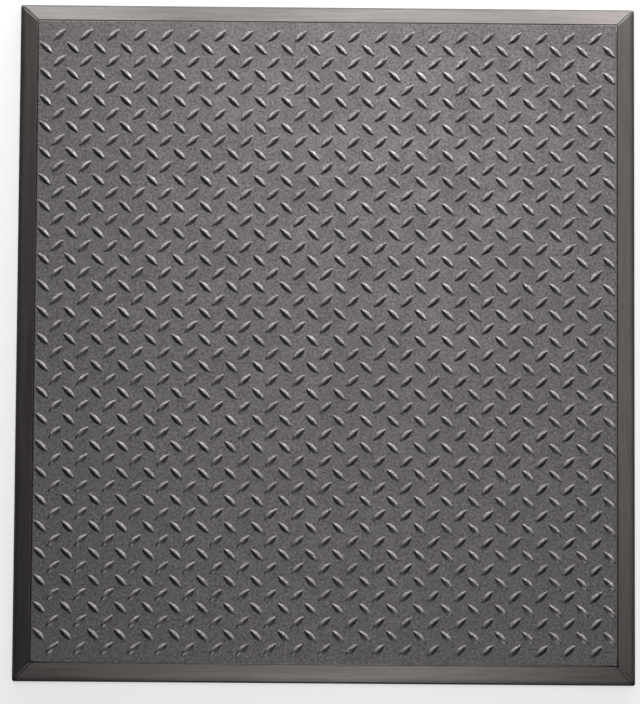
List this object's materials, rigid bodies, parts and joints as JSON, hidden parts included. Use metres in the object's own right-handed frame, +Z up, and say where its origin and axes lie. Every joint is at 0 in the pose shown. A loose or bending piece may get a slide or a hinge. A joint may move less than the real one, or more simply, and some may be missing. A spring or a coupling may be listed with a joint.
{
  "type": "anti-fatigue mat",
  "caption": "Cushioned standing mat: a rubber tread sheet with a raised diamond-plate pattern on a sponge core, framed by sloping ramp edges mitred at the corners.",
  "frame": {"origin": "centre of the footprint, on the floor", "axes": "+X across the width to the right, +Y along the length to the rear edge, +Z up; the front edge is at -Y"},
  "size_m": [0.7112, 0.7874, 0.0159],
  "materials": {
    "tread_rubber": "satin, fine grain",
    "ramp_rubber": "smooth satin",
    "core_foam": "matte closed-cell sponge",
    "base_rubber": "matte, ribbed"
  },
  "bodies": {
    "root": {"tread_sheet": "tread_rubber", "foam_core": "core_foam", "base_sheet": "base_rubber", "ramp_front": "ramp_rubber", "ramp_rear": "ramp_rubber", "ramp_left": "ramp_rubber", "ramp_right": "ramp_rubber"}
  },
  "joints": []
}
